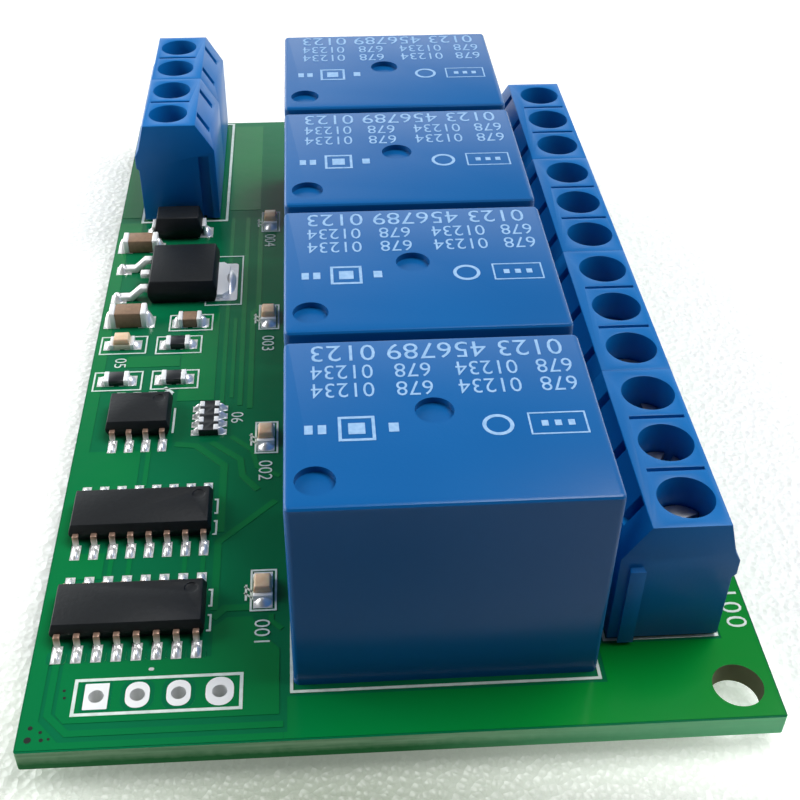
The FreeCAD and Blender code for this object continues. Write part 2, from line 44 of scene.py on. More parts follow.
view_place = Vector((-0.004447, -0.083909, 0.064957))
camera_data = bpy.data.cameras.new("close_view")
camera_data.lens = 54.57
camera_data.sensor_width = 36
camera_data.clip_start = 0.005
camera_data.shift_x = 0.0262
camera_data.shift_y = -0.0195
camera = bpy.data.objects.new("close_view", camera_data)
bpy.context.scene.collection.objects.link(camera)
turn = Matrix((view_right, -view_down, -view_forward)).transposed().to_4x4()
camera.matrix_world = Matrix.Translation(view_place) @ turn
bpy.context.scene.camera = camera


# Studio. White foam sheet under the board, a bright room behind it, a soft lamp high
# on the right and a weak one on the left. The front is dim, so fronts fall into shade.
mix_a, mix_b, mix_out = 6, 7, 2  # a Mix node's two colour inputs and its colour output
per_mm = 1000.0  # the scale at which a pattern has one cell to a millimetre


def linear(hex_code):
    """An sRGB hex colour as the linear colour that shaders take."""
    channels = []
    for i in (0, 2, 4):
        value = int(hex_code[i:i + 2], 16) / 255
        channels.append(value / 12.92 if value <= 0.04045 else ((value + 0.055) / 1.055) ** 2.4)
    return (*channels, 1.0)


def add(tree, kind, inputs=None, feeds=None, **settings):
    """Add a node with its properties, and fill its inputs with values or links. Where
    feeds names one of its outputs and a socket, the output is linked on to that."""
    node = tree.nodes.new(kind)
    for key, value in settings.items():
        setattr(node, key, value)
    for key, value in (inputs or {}).items():
        if isinstance(value, bpy.types.NodeSocket):
            tree.links.new(value, node.inputs[key])
        else:
            node.inputs[key].default_value = value
    if feeds:
        tree.links.new(node.outputs[feeds[0]], feeds[1])
    return node


def new_material(name, **sockets):
    """A material with one Principled shader, its own sockets set by name."""
    made = bpy.data.materials.new(name)
    made.use_nodes = True
    shader = made.node_tree.nodes["Principled BSDF"]
    for key, value in sockets.items():
        shader.inputs[key.replace("_", " ")].default_value = value
    return made, made.node_tree, shader


def alone(piece=None):
    """Deselect everything, and then select and activate one piece if it is given."""
    bpy.ops.object.select_all(action="DESELECT")
    if piece:
        piece.select_set(True)
        bpy.context.view_layer.objects.active = piece


# The room is dim on the camera's side and bright behind the board, has a window on
# the left, and goes dark overhead. The camera itself sees plain white paper.
world = bpy.data.worlds.new("studio")
bpy.context.scene.world = world
world.use_nodes = True
tree = world.node_tree
tree.nodes.clear()
direction = add(tree, "ShaderNodeTexCoord").outputs["Generated"]
axes = add(tree, "ShaderNodeSeparateXYZ", {"Vector": direction})
behind = add(tree, "ShaderNodeMapRange", {
    "Value": axes.outputs["Y"],
    "From Min": -0.5, "From Max": 0.4, "To Min": 0.12, "To Max": 1.15})
window = add(tree, "ShaderNodeMapRange", {
    "Value": axes.outputs["X"],
    "From Min": -0.25, "From Max": -0.6, "To Min": 1.0, "To Max": 3.2})
height = add(tree, "ShaderNodeValToRGB", {"Fac": axes.outputs["Z"]})
for i, (position, grey) in enumerate(((0.40, 1.1), (0.66, 0.08))):
    height.color_ramp.elements[i].position = position
    height.color_ramp.elements[i].color = (grey, grey, grey, 1.0)
glow = behind.outputs["Result"]
for share in (height.outputs["Color"], window.outputs["Result"]):
    glow = add(tree, "ShaderNodeMath", {0: glow, 1: share}, operation="MULTIPLY").outputs[0]
room = add(tree, "ShaderNodeBackground", {"Color": (0.95, 0.98, 1.0, 1.0), "Strength": glow})
paper = add(tree, "ShaderNodeBackground", {"Color": (1.0, 1.0, 1.0, 1.0), "Strength": 1.0})
seen = add(tree, "ShaderNodeLightPath").outputs["Is Camera Ray"]
mixed = add(tree, "ShaderNodeMixShader", {0: seen, 1: room.outputs[0], 2: paper.outputs[0]})
add(tree, "ShaderNodeOutputWorld", {"Surface": mixed.outputs[0]})

for name, place, size, power in (
    ("soft_lamp_right", (0.17, 0.04, 0.41), 0.26, 2.1),
    ("soft_lamp_left", (-0.38, 0.06, 0.30), 0.20, 0.8),
):
    lamp_data = bpy.data.lights.new(name, "AREA")
    lamp_data.size = size
    lamp_data.energy = power
    lamp = bpy.data.objects.new(name, lamp_data)
    bpy.context.scene.collection.objects.link(lamp)
    lamp.location = place
    lamp.rotation_euler = (-Vector(place)).to_track_quat("-Z", "Y").to_euler()

alone()
bpy.ops.mesh.primitive_plane_add(size=6)
floor = bpy.context.object
floor.name = "foam_sheet"

# Expanded foam, foamed and skinned in one pass. Its cells, half a millimetre wide,
# show as pebbles, and light sinks in and spreads, so that shadows on it are soft.
foam, tree, shader = new_material(
    "pale_foam_sheet", Roughness=0.36, Subsurface_Weight=0.6, Subsurface_Scale=0.008,
    Subsurface_Radius=(1.0, 1.0, 1.0))
point = add(tree, "ShaderNodeTexCoord").outputs["Object"]
cells = add(tree, "ShaderNodeTexVoronoi", {
    "Vector": point, "Scale": 1.9 * per_mm, "Randomness": 1.0})
add(tree, "ShaderNodeBump", {
    "Height": cells.outputs["Distance"], "Strength": 0.6, "Distance": 0.0004,
}, feeds=("Normal", shader.inputs["Normal"]))
grain = add(tree, "ShaderNodeTexNoise", {
    "Vector": point, "Scale": 0.9 * per_mm, "Detail": 3.0})
shade = add(tree, "ShaderNodeMix", {
    "Factor": grain.outputs["Fac"], mix_a: linear("ECEEEA"), mix_b: linear("FFFFFF"),
}, data_type="RGBA")
# Close in front of the board the foam is greyer, where the board keeps light off it.
away = add(tree, "ShaderNodeVectorMath", {
    0: point, 1: (-0.006, -0.052, 0.0)}, operation="DISTANCE")
front = add(tree, "ShaderNodeMapRange", {
    "Value": away.outputs["Value"], "From Min": 0.006, "From Max": 0.034})
tinted = add(tree, "ShaderNodeMix", {
    "Factor": front.outputs["Result"], mix_a: linear("8C9682"), mix_b: shade.outputs[mix_out],
}, data_type="RGBA")
# It throws less light up than it shows to the eye, and least in front of the board.
axes = add(tree, "ShaderNodeSeparateXYZ", {"Vector": point})
close = add(tree, "ShaderNodeMapRange", {
    "Value": axes.outputs["Y"], "From Min": -0.056, "From Max": -0.048})
bounce = add(tree, "ShaderNodeMix", {
    "Factor": close.outputs["Result"], mix_a: linear("5E605D"), mix_b: linear("D0D2CF"),
}, data_type="RGBA")
path = add(tree, "ShaderNodeLightPath")
direct = path.outputs["Is Camera Ray"]
for ray in ("Is Glossy Ray", "Is Transmission Ray"):
    direct = add(tree, "ShaderNodeMath", {
        0: direct, 1: path.outputs[ray]}, operation="MAXIMUM").outputs[0]
add(tree, "ShaderNodeMix", {
    "Factor": direct, mix_a: bounce.outputs[mix_out], mix_b: tinted.outputs[mix_out],
}, feeds=(mix_out, shader.inputs["Base Color"]), data_type="RGBA")
# Painted glow: the foam emits light in a narrow band under the board's front edge, seen directly
# and in reflections, so the shadow there stays pale.
near = add(tree, "ShaderNodeMapRange", {
    "Value": axes.outputs["Y"], "From Min": -0.0452, "From Max": -0.0418})
under = add(tree, "ShaderNodeMapRange", {
    "Value": axes.outputs["Y"], "From Min": -0.0300, "From Max": -0.0340})
middle = add(tree, "ShaderNodeMath", {0: axes.outputs["X"]}, operation="ABSOLUTE")
aside = add(tree, "ShaderNodeMapRange", {
    "Value": middle.outputs[0], "From Min": 0.0262, "From Max": 0.0232})
painted_glow = add(tree, "ShaderNodeMath", {
    0: front.outputs["Result"], 1: 0.38, 2: 0.12}, operation="MULTIPLY_ADD").outputs[0]
for share in (near.outputs["Result"], under.outputs["Result"], aside.outputs["Result"], direct):
    painted_glow = add(tree, "ShaderNodeMath", {
        0: painted_glow, 1: share}, operation="MULTIPLY").outputs[0]
tree.links.new(painted_glow, shader.inputs["Emission Strength"])
shader.inputs["Emission Color"].default_value = linear("F2FFEE")
floor.data.materials.append(foam)
bpy.context.scene.view_settings.view_transform = "Standard"


# Circuit board. Glass-fibre laminate, 1.6 mm thick, covered on both faces with
# glossy green lacquer; the routed edge shows the pale fibre in layers.
board_width, board_length, board_thickness = 46.8, 81.0, 1.6
board_top = 2.8  # its upper face stands this far over the tips of the solder tails


def relief(tree, shader, point, scale, detail, strength, depth):
    """Raise the surface by a fine noise, so that its gloss breaks up."""
    noise = add(tree, "ShaderNodeTexNoise", {
        "Vector": point, "Scale": scale, "Detail": detail})
    add(tree, "ShaderNodeBump", {
        "Height": noise.outputs["Fac"], "Strength": strength, "Distance": depth,
    }, feeds=("Normal", shader.inputs["Normal"]))


def coat(node, material):
    """Give a CAD node its finish."""
    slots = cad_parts[node].data.materials
    slots.clear()
    slots.append(material)


# Photo-cured lacquer: glossy, with faint clouds 6 mm wide and an orange peel of about
# 1 mm. The sawn edge is dull, in fibre layers 0.2 mm high and 4 mm long.
lacquer, tree, shader = new_material(
    "green_solder_lacquer", IOR=1.5, Specular_IOR_Level=0.2)
point = add(tree, "ShaderNodeTexCoord").outputs["Object"]
relief(tree, shader, point, 0.9 * per_mm, 1.0, 0.04, 0.0002)
normal = add(tree, "ShaderNodeNewGeometry").outputs["Normal"]
facing = add(tree, "ShaderNodeSeparateXYZ", {"Vector": normal})
level = add(tree, "ShaderNodeMath", {0: facing.outputs["Z"]}, operation="ABSOLUTE")
flat = add(tree, "ShaderNodeMath", {0: level.outputs[0], 1: 0.5}, operation="GREATER_THAN")
add(tree, "ShaderNodeMapRange", {
    "Value": flat.outputs[0], "To Min": 0.7, "To Max": 0.16,
}, feeds=("Result", shader.inputs["Roughness"]))
clouds = add(tree, "ShaderNodeTexNoise", {
    "Vector": point, "Scale": 0.16 * per_mm, "Detail": 2.0})
greens = add(tree, "ShaderNodeMix", {
    "Factor": clouds.outputs["Fac"], mix_a: linear("065C38"), mix_b: linear("086842"),
}, data_type="RGBA")
stretch = add(tree, "ShaderNodeMapping", {
    "Vector": point, "Scale": (0.26 * per_mm, 0.26 * per_mm, 5.2 * per_mm)})
layers = add(tree, "ShaderNodeTexNoise", {
    "Vector": stretch.outputs["Vector"], "Scale": 1.0, "Detail": 3.0})
# The edge's colour in steps: the fibre, a ragged darker green over its lower half, a lighter
# green towards its right end that is painted light, and the browner bored holes.
axes = add(tree, "ShaderNodeSeparateXYZ", {"Vector": point})
ragged = add(tree, "ShaderNodeTexNoise", {
    "Vector": point, "Scale": 1.5 * per_mm, "Detail": 2.0})
rise = add(tree, "ShaderNodeMath", {
    0: ragged.outputs["Fac"], 1: 0.0004, 2: axes.outputs["Z"],
}, operation="MULTIPLY_ADD")
low = add(tree, "ShaderNodeMapRange", {
    "Value": rise.outputs[0], "From Min": 0.0025, "From Max": 0.0018})
# Painted light: lighter towards the edge's right end, where more light falls on it.
right = add(tree, "ShaderNodeMapRange", {
    "Value": axes.outputs["X"], "From Min": 0.0, "From Max": 0.022, "To Max": 0.85})
mirrored = add(tree, "ShaderNodeMath", {0: axes.outputs["Y"]}, operation="ABSOLUTE")
fold = add(tree, "ShaderNodeCombineXYZ", {
    "X": axes.outputs["X"], "Y": mirrored.outputs[0]})
reach = add(tree, "ShaderNodeVectorMath", {
    0: fold.outputs[0], 1: (0.021, 0.038, 0.0)}, operation="DISTANCE")
bored = add(tree, "ShaderNodeMath", {
    0: reach.outputs["Value"], 1: 0.0019}, operation="LESS_THAN")
edge = linear("4E8E5E")
for share, tone in (
    (layers.outputs["Fac"], linear("A2C6A0")),
    (low.outputs["Result"], linear("1C7038")),
    (right.outputs["Result"], linear("8CEEB0")),
    (bored.outputs[0], linear("6E7454")),
    (flat.outputs[0], greens.outputs[mix_out]),
):
    edge = add(tree, "ShaderNodeMix", {
        "Factor": share, mix_a: edge, mix_b: tone}, data_type="RGBA").outputs[mix_out]
tree.links.new(edge, shader.inputs["Base Color"])
coat("circuit_board", lacquer)


# Copper tracks. Foil 0.035 mm thick under the lacquer, so each track and pour
# stands a little proud and looks a lighter green than the bare laminate.
header_holes = [(4.44 + 2.54 * i, 3.85) for i in range(4)]
fixing_holes = [(44.4, 2.5), (44.4, 78.5)]
lead_pitch = 1.27


def spot(x, y, z=0.0):
    """Millimetres from the board's front left corner and above its top, in metres."""
    return Vector((x - board_width / 2, y - board_length / 2, z + board_top)) / 1000


def extruded(name, outlines, lift, travel):
    """Filled outlines, placed by the function lift and drawn out along travel."""
    alone()
    bpy.ops.mesh.primitive_circle_add(
        vertices=len(outlines[0]), radius=0.001, fill_type="NGON")
    piece = bpy.context.object
    piece.name = name
    bpy.ops.object.mode_set(mode="EDIT")
    for outline in outlines[1:]:
        bpy.ops.mesh.primitive_circle_add(
            vertices=len(outline), radius=0.001, fill_type="NGON")
    bpy.ops.object.mode_set(mode="OBJECT")
    points = [point for outline in outlines for point in outline]
    for vertex, point in zip(piece.data.vertices, points):
        vertex.co = lift(*point)
    bpy.ops.object.mode_set(mode="EDIT")
    bpy.ops.mesh.select_all(action="SELECT")
    bpy.ops.mesh.extrude_region_move(TRANSFORM_OT_translate={"value": travel})
    bpy.ops.mesh.select_all(action="SELECT")
    bpy.ops.mesh.normals_make_consistent(inside=False)
    bpy.ops.object.mode_set(mode="OBJECT")
    return piece


def flat_layer(name, outlines, bottom, top):
    """Plan outlines in board millimetres as one thin layer between two heights."""
    return extruded(
        name, outlines, lambda x, y: spot(x, y, bottom), (0, 0, (top - bottom) / 1000))


def oblong(x0, x1, y0, y1, corner=0.0):
    """A rectangle in plan, with its corners rounded where a radius is given."""
    if corner == 0:
        return [(x0, y0), (x1, y0), (x1, y1), (x0, y1)]
    points = []
    for cx, cy, start in (
        (x1 - corner, y1 - corner, 0), (x0 + corner, y1 - corner, 90),
        (x0 + corner, y0 + corner, 180), (x1 - corner, y0 + corner, 270),
    ):
        for step in range(7):
            angle = math.radians(start + 15 * step)
            points.append((cx + corner * math.cos(angle), cy + corner * math.sin(angle)))
    return points


def square(x, y, half_x, half_y, corner=0.0):
    """A rectangle round its middle, by half its width and half its depth."""
    return oblong(x - half_x, x + half_x, y - half_y, y + half_y, corner)


def ribbon(points, width):
    """The outline of a line of one width through the given points, mitred at its turns."""
    left = []
    right = []
    for i, (x, y) in enumerate(points):
        before = Vector(points[i]) - Vector(points[i - 1]) if i > 0 else None
        after = Vector(points[i + 1]) - Vector(points[i]) if i < len(points) - 1 else None
        ahead = (before or after).normalized()
        beyond = (after or before).normalized()
        along = (ahead + beyond).normalized()
        reach = width / 2 / max(0.35, along.dot(ahead))
        left.append((x - along.y * reach, y + along.x * reach))
        right.append((x + along.y * reach, y - along.x * reach))
    return left + right[::-1]


def drum(radius, height, place, sides):
    """An upright cylinder, its sizes in millimetres and its middle at a place."""
    alone()
    bpy.ops.mesh.primitive_cylinder_add(
        vertices=sides, radius=radius / 1000, depth=height / 1000, location=place)
    return bpy.context.object


def carve(target, cutter, operation="DIFFERENCE"):
    """Cut one solid out of another, or join them, and apply the result."""
    alone(target)
    bpy.ops.object.modifier_add(type="BOOLEAN")
    modifier = target.modifiers[-1]
    modifier.operation = operation
    modifier.solver = "EXACT"
    modifier.object = cutter
    bpy.ops.object.modifier_apply(modifier=modifier.name)
    bpy.data.objects.remove(cutter, do_unlink=True)


def settle(piece, material):
    """Finish a new piece: its material, and the body that it rides on."""
    piece.data.materials.clear()
    piece.data.materials.append(material)
    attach(piece, "root")


# The same lacquer over bright copper: a livelier green, with clouds 8 mm wide and the same 1 mm
# orange peel. It is painted lighter and yellower to the right, for the light that falls there
# from the right.
copper_lacquer, tree, shader = new_material(
    "green_lacquer_over_copper", Roughness=0.17, IOR=1.5, Specular_IOR_Level=0.38)
point = add(tree, "ShaderNodeTexCoord").outputs["Object"]
relief(tree, shader, point, 0.9 * per_mm, 1.0, 0.04, 0.0002)
clouds = add(tree, "ShaderNodeTexNoise", {
    "Vector": point, "Scale": 0.12 * per_mm, "Detail": 2.0})
axes = add(tree, "ShaderNodeSeparateXYZ", {"Vector": point})
# Painted light: the pour is mixed lighter and yellower towards the right.
right = add(tree, "ShaderNodeMapRange", {
    "Value": axes.outputs["X"], "From Min": -0.012, "From Max": 0.016})
share = add(tree, "ShaderNodeMath", {
    0: clouds.outputs["Fac"], 1: 0.3, 2: right.outputs["Result"]}, operation="MULTIPLY_ADD")
add(tree, "ShaderNodeMix", {
    "Factor": share.outputs[0], mix_a: linear("036A3C"), mix_b: linear("007C2A"),
}, feeds=(mix_out, shader.inputs["Base Color"]), data_type="RGBA")

# The pours: round the header, up the left side, along the front and up the right
# side, by the small parts, and on both sides of the input terminals.
tracks = [
    [(2.65, 1.95), (15.75, 1.95), (15.75, 7.0), (14.75, 8.1), (13.9, 9.75),
     (12.3, 9.75), (11.4, 9.0), (11.4, 6.6), (2.1, 6.6), (2.1, 2.6)],
    [(0.1, 0.15), (16.0, 0.15), (16.0, 0.62), (2.5, 0.62), (1.15, 2.2), (1.15, 13.6),
     (3.6, 13.6), (3.6, 16.0), (1.15, 16.0), (1.15, 22.4), (5.1, 22.4), (5.1, 26.6),
     (1.15, 26.6), (1.15, 55.0), (2.2, 55.0), (2.2, 60.0), (0.1, 60.0)],
    [(16.02, 0.15), (46.7, 0.15), (46.7, 80.8), (44.4, 80.8), (44.4, 6.2), (36.3, 6.2),
     (36.3, 3.2), (16.25, 3.2), (16.25, 0.62), (16.02, 0.62)],
    [(7.4, 32.4), (10.35, 32.4), (10.35, 44.4), (9.2, 44.4), (9.2, 41.6), (7.4, 41.6)],
    oblong(2.8, 7.3, 37.0, 38.5),
    oblong(10.6, 13.6, 62.0, 80.0),
    oblong(0.1, 1.9, 61.0, 80.8),
]
for line, width in (
    ([(16.0, 1.22), (2.95, 1.22), (1.62, 2.62), (1.62, 7.4)], 0.45),
    ([(13.9, 10.55), (12.1, 10.55), (11.35, 9.7)], 0.55),
    ([(11.4, 10.4), (11.4, 16.6), (15.4, 20.6)], 0.5),
    ([(11.5, 17.6), (11.5, 24.6), (9.3, 26.9), (7.6, 27.2)], 0.55),
    ([(14.1, 21.8), (12.9, 23.4), (12.7, 25.2), (10.4, 27.3)], 0.5),
    ([(15.7, 23.2), (14.0, 24.3), (13.6, 26.2), (11.9, 27.9)], 0.4),
    ([(15.9, 8.6), (15.2, 9.3), (15.2, 9.9)], 0.35),
    ([(11.0, 32.0), (11.0, 60.5)], 0.35),
    ([(12.45, 31.6), (12.45, 60.5)], 0.4),
    ([(13.25, 31.2), (13.25, 44.4), (13.7, 44.9), (13.7, 60.5)], 0.45),
    ([(11.75, 32.6), (11.75, 43.6)], 0.3),
    ([(3.0, 32.9), (3.0, 34.2)], 0.4),
):
    tracks.append(ribbon(line, width))
for x in (4.09, 5.36, 9.17, 10.43):
    tracks.append(oblong(x - 0.16, x + 0.16, 13.8, 15.6))
tracks.append(oblong(5.5, 5.85, 22.6, 26.6))
# Gaps in the pours, round the front chip's leads and the header's first three pads.
gaps = [oblong(x - 0.62, x + 0.62, 6.45, 7.5, 0.3)
        for x in [1.535 + lead_pitch * i for i in range(8)]]
gaps.append(oblong(3.5, 5.38, 2.7, 5.0, 0.1))
gaps.extend(square(x, y, 1.05, 1.27, 0.9) for x, y in header_holes[1:3])
holes = [(x, y, 1.6) for x, y in fixing_holes] + [(x, y, 0.55) for x, y in header_holes]
for name, outlines, bottom, top, finish in (
    ("copper_tracks", tracks, -0.01, 0.03, copper_lacquer),
    ("lacquer_gaps", gaps, 0.0, 0.034, lacquer),
):
    foil = flat_layer(name, outlines, bottom, top)
    for x, y, radius in holes:
        carve(foil, drum(radius, 4, spot(x, y), 48))
    settle(foil, finish)

# Vias drilled 0.2 to 0.4 mm wide. Their plated walls lie in the dark, so the eye
# sees near-black dots.
dark = new_material(
    "shadow_in_a_drilled_hole", Roughness=0.9, Base_Color=linear("04100A"))[0]
vias = [square(x, y, r, r, r * 0.98) for x, y, r in (
    (0.72, 0.88, 0.22), (0.76, 1.73, 0.15), (1.41, 1.41, 0.11), (1.53, 0.85, 0.13),
    (1.96, 0.9, 0.09), (2.42, 4.4, 0.1), (2.5, 3.85, 0.1))]
settle(flat_layer("vias", vias, 0.0, 0.036), dark)


# Header. Four empty plated holes, each a pad, a barrel and a pad in one piece of
# tinned copper; the first pad is square and the last is a little larger.
def plated(name, colour, metallic, scale, detail, smooth, dull, grain=None):
    """A plating that is smoother in some places and duller in others, with a relief
    of the same scale where its strength and depth are given."""
    made, tree, shader = new_material(name, Metallic=metallic, Base_Color=linear(colour))
    point = add(tree, "ShaderNodeTexCoord").outputs["Object"]
    wear = add(tree, "ShaderNodeTexNoise", {
        "Vector": point, "Scale": scale, "Detail": detail})
    add(tree, "ShaderNodeMapRange", {
        "Value": wear.outputs["Fac"], "To Min": smooth, "To Max": dull,
    }, feeds=("Result", shader.inputs["Roughness"]))
    if grain:
        relief(tree, shader, point, scale, detail, *grain)
    return made


def joined(name, pieces):
    """Several pieces as one object."""
    alone()
    for piece in pieces:
        piece.select_set(True)
    bpy.context.view_layer.objects.active = pieces[0]
    bpy.ops.object.join()
    pieces[0].name = name
    return pieces[0]


def baked():
    """Put the active piece's place and size into its mesh."""
    bpy.ops.object.transform_apply(location=True, rotation=True, scale=True)


def stand_in(piece, node, material):
    """Finish a piece that takes a CAD node's place, and give the node that finish."""
    settle(piece, material)
    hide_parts(node)
    coat(node, material)


# Dull tin over copper, whiter than polished metal. Its frost is finer than a pixel
# and is drawn as 0.7 mm dapples, so that the pads don't look polished.
tin = plated(
    "frosted_tin_plating", "E9EAEA", 0.2, 1.4 * per_mm, 2.0, 0.32, 0.5, (0.12, 0.0001))
bore, plate, pad_height = 0.475, 0.08, 0.05
eyelets = []
for (x, y), (half_x, half_y, corner) in zip(header_holes, (
    (0.75, 0.975, 0.06), (0.75, 0.975, 0.7), (0.75, 0.975, 0.7), (0.875, 1.075, 0.84),
)):
    outline = [square(x, y, half_x, half_y, corner)]
    pad = flat_layer("pad", outline, 0.0, pad_height)
    under = flat_layer(
        "under_pad", outline, -board_thickness - pad_height, -board_thickness)
    middle = spot(x, y, -board_thickness / 2)
    eyelet = drum(bore + plate, board_thickness + 0.02, middle, 32)
    carve(eyelet, pad, "UNION")
    carve(eyelet, under, "UNION")
    carve(eyelet, drum(bore, 3, middle, 32))
    eyelets.append(eyelet)
header = joined("header_eyelets", eyelets)
baked()
stand_in(header, "header_plated_holes", tin)


# Relays. Each is a blue moulded cover dropped over a potted base and sealed. The
# lid has two round moulding dimples, and every edge of the cover is rounded.
relay_left, relay_right, relay_front, relay_back = 16.65, 35.8, 4.05, 19.45
relay_height, relay_pitch = 15.25, 16.29
wall, lid = 0.9, 1.2


def mottled(name, first, second, scale, detail=2.0, grain=None, **sockets):
    """A material that drifts between two tones over a noise of one scale, with a fine
    relief of the same detail where its scale, strength and depth are given."""
    made, tree, shader = new_material(name, **sockets)
    point = add(tree, "ShaderNodeTexCoord").outputs["Object"]
    clouds = add(tree, "ShaderNodeTexNoise", {
        "Vector": point, "Scale": scale, "Detail": detail})
    add(tree, "ShaderNodeMix", {
        "Factor": clouds.outputs["Fac"], mix_a: linear(first), mix_b: linear(second),
    }, feeds=(mix_out, shader.inputs["Base Color"]), data_type="RGBA")
    if grain:
        grain_scale, strength, depth = grain
        relief(tree, shader, point, grain_scale, detail, strength, depth)
    return made


def block(x0, x1, y0, y1, z0, z1):
    """A box between two corners, in board millimetres."""
    alone()
    bpy.ops.mesh.primitive_cube_add(
        size=1, location=spot((x0 + x1) / 2, (y0 + y1) / 2, (z0 + z1) / 2),
        scale=((x1 - x0) / 1000, (y1 - y0) / 1000, (z1 - z0) / 1000))
    return bpy.context.object


def pick_edges(piece, wanted):
    """Go into edit mode with those edges selected whose two ends pass a test."""
    bpy.ops.object.mode_set(mode="EDIT")
    bpy.ops.mesh.select_mode(type="EDGE")
    bpy.ops.mesh.select_all(action="DESELECT")
    bpy.ops.object.mode_set(mode="OBJECT")
    for edge in piece.data.edges:
        edge.select = wanted(*(piece.data.vertices[i].co for i in edge.vertices))
    bpy.ops.object.mode_set(mode="EDIT")


def duplicate(source, move):
    """A copy with a mesh of its own, moved by a matrix."""
    copy = source.copy()
    copy.data = source.data.copy()
    copy.data.transform(move)
    bpy.context.scene.collection.objects.link(copy)
    return copy


# Polyester from a spark-eroded mould: a soft sheen on deep blue, with flow shades
# 11 mm wide. The mould's grain is too fine to show and is drawn 0.2 mm wide.
relay_blue = mottled(
    "moulded_blue_polyester", "07508C", "095896", 0.09 * per_mm,
    grain=(5.2 * per_mm, 0.05, 0.0001), Roughness=0.26, IOR=1.5, Specular_IOR_Level=0.27)
# Poured epoxy, cured level: dark and half dull, with 3 mm flow marks.
resin = mottled("dark_potting_resin", "101216", "1C1F26", 0.3 * per_mm, Roughness=0.45)

cover = block(relay_left, relay_right, relay_front, relay_back, 0, relay_height)
baked()
roof = spot(0, 0, relay_height).z
pick_edges(cover, lambda a, b: abs(a.z - b.z) > 0.01)
bpy.ops.mesh.bevel(offset=0.0004, segments=4)
pick_edges(cover, lambda a, b: abs(a.z - roof) < 1e-6 and abs(b.z - roof) < 1e-6)
bpy.ops.mesh.bevel(offset=0.0003, segments=3)
bpy.ops.object.mode_set(mode="OBJECT")
for x, y in ((18.45, 6.35), (25.75, 12.15)):
    carve(cover, drum(1.2, 0.9, spot(x, y, relay_height), 40))
carve(cover, block(relay_left + wall, relay_right - wall, relay_front + wall,
                   relay_back - wall, -1, relay_height - lid))
alone(cover)
bpy.ops.object.shade_smooth_by_angle(angle=math.radians(28))
covers = [cover]
for i in range(1, 4):
    covers.append(duplicate(cover, Matrix.Translation((0, relay_pitch * i / 1000, 0))))
for i, piece in enumerate(covers, 1):
    piece.name = "relay_%d_lid_and_walls" % i
    stand_in(piece, "relay_%d_cover" % i, relay_blue)
    coat("relay_%d_base" % i, resin)
coat("relay_pins", tin)


# Relay marking. Pale ink pad-printed on each lid: three rows of plain numbers over
# a row of a square, a ring, dots and a rectangle.
def ring(x, y, half_x, half_y, width, sides=32):
    """An oval or four-sided ring as a closed strip of short quads."""
    grow, start = (1.414, 0.5) if sides == 4 else (1.0, 0.0)
    strip = []
    for i in range(sides):
        quad = []
        for j, inset in ((i, width), (i + 1, width), (i + 1, 0), (i, 0)):
            angle = 2 * math.pi * (j + start) / sides
            quad.append((x + (half_x * grow - inset) * math.cos(angle),
                         y + (half_y * grow - inset) * math.sin(angle)))
        strip.append(quad)
    return strip


def number(text, place, size, turn, stretch=1.0, spacing=1.0):
    """Plain figures, lying flat, with their middle at a place."""
    alone()
    bpy.ops.object.text_add()
    sign = bpy.context.object
    sign.data.body = text
    sign.data.size = size / 1000
    sign.data.align_x = "CENTER"
    sign.data.align_y = "CENTER"
    sign.data.space_character = spacing
    sign.data.resolution_u = 3
    # A film 0.022 mm thick, its strokes drawn in by 0.01 mm.
    sign.data.extrude = 0.000011
    sign.data.offset = -0.00001
    bpy.ops.object.convert(target="MESH")
    wide = Matrix.Diagonal((stretch, 1.0, 1.0, 1.0))
    turned = Matrix.Rotation(math.radians(turn), 4, "Z")
    sign.data.transform(Matrix.Translation(place) @ turned @ wide)
    return sign


# Two-part ink, stamped thin by a rubber pad: dull and pale blue, because the cover
# shows through in patches 0.4 mm wide.
pale_ink = mottled(
    "pale_pad_printing_ink", "5C8CBA", "9ABADA", 2.5 * per_mm, Roughness=0.6)
marks = ring(21.0, 10.7, 1.1, 1.1, 0.28, 4) + [oblong(20.5, 21.5, 10.2, 11.2)]
marks += [oblong(17.9 + 0.8 * i, 18.4 + 0.8 * i, 10.3, 11.1) for i in range(2)]
marks += [oblong(22.9, 23.5, 10.3, 11.1)]
marks += ring(29.4, 10.6, 0.95, 0.95, 0.24) + ring(33.0, 10.6, 1.75, 1.0, 0.16, 4)
marks += [oblong(32.0 + 0.8 * i, 32.4 + 0.8 * i, 10.35, 10.85) for i in range(3)]
film = relay_height + 0.002  # the middle of the printed figures
prints = []
for i in range(4):
    back = relay_pitch * i
    shifted = [[(x, y + back) for x, y in outline] for outline in marks]
    prints.append(flat_layer("relay_marks", shifted, relay_height - 0.01, relay_height + 0.012))
    prints.append(number("0123 456789 0123", spot(26.4, 18.15 + back, film), 2.35, 180, 0.92))
    for y in (16.2, 14.4):
        for text, x in (("01234", 20.3), ("678", 24.75), ("01234", 29.4), ("678", 33.7)):
            prints.append(number(text, spot(x, y + back, film), 2.0, 180, 0.8))
settle(joined("relay_marks", prints), pale_ink)


# Screw terminals. Moulded blue blocks of three and two poles that lock together
# by a rib and a socket, each pole with a screw well, a test slot and a wire entry.
pole_pitch = 5.08
output_left, output_front, output_poles = 36.85, 6.43, 12
input_right, input_front, input_poles = 9.7, 60.2, 4
well_x = 4.25  # from a housing's sloped wall to the middle of its screws


def rounded(piece, width):
    """Round over the sharp edges, in millimetres, and shade what is left smooth."""
    alone(piece)
    bpy.ops.object.modifier_add(type="BEVEL")
    modifier = piece.modifiers[-1]
    modifier.limit_method = "ANGLE"
    modifier.angle_limit = math.radians(35)
    modifier.width = width / 1000
    modifier.segments = 2
    bpy.ops.object.modifier_apply(modifier=modifier.name)
    bpy.ops.object.shade_smooth_by_angle(angle=math.radians(40))


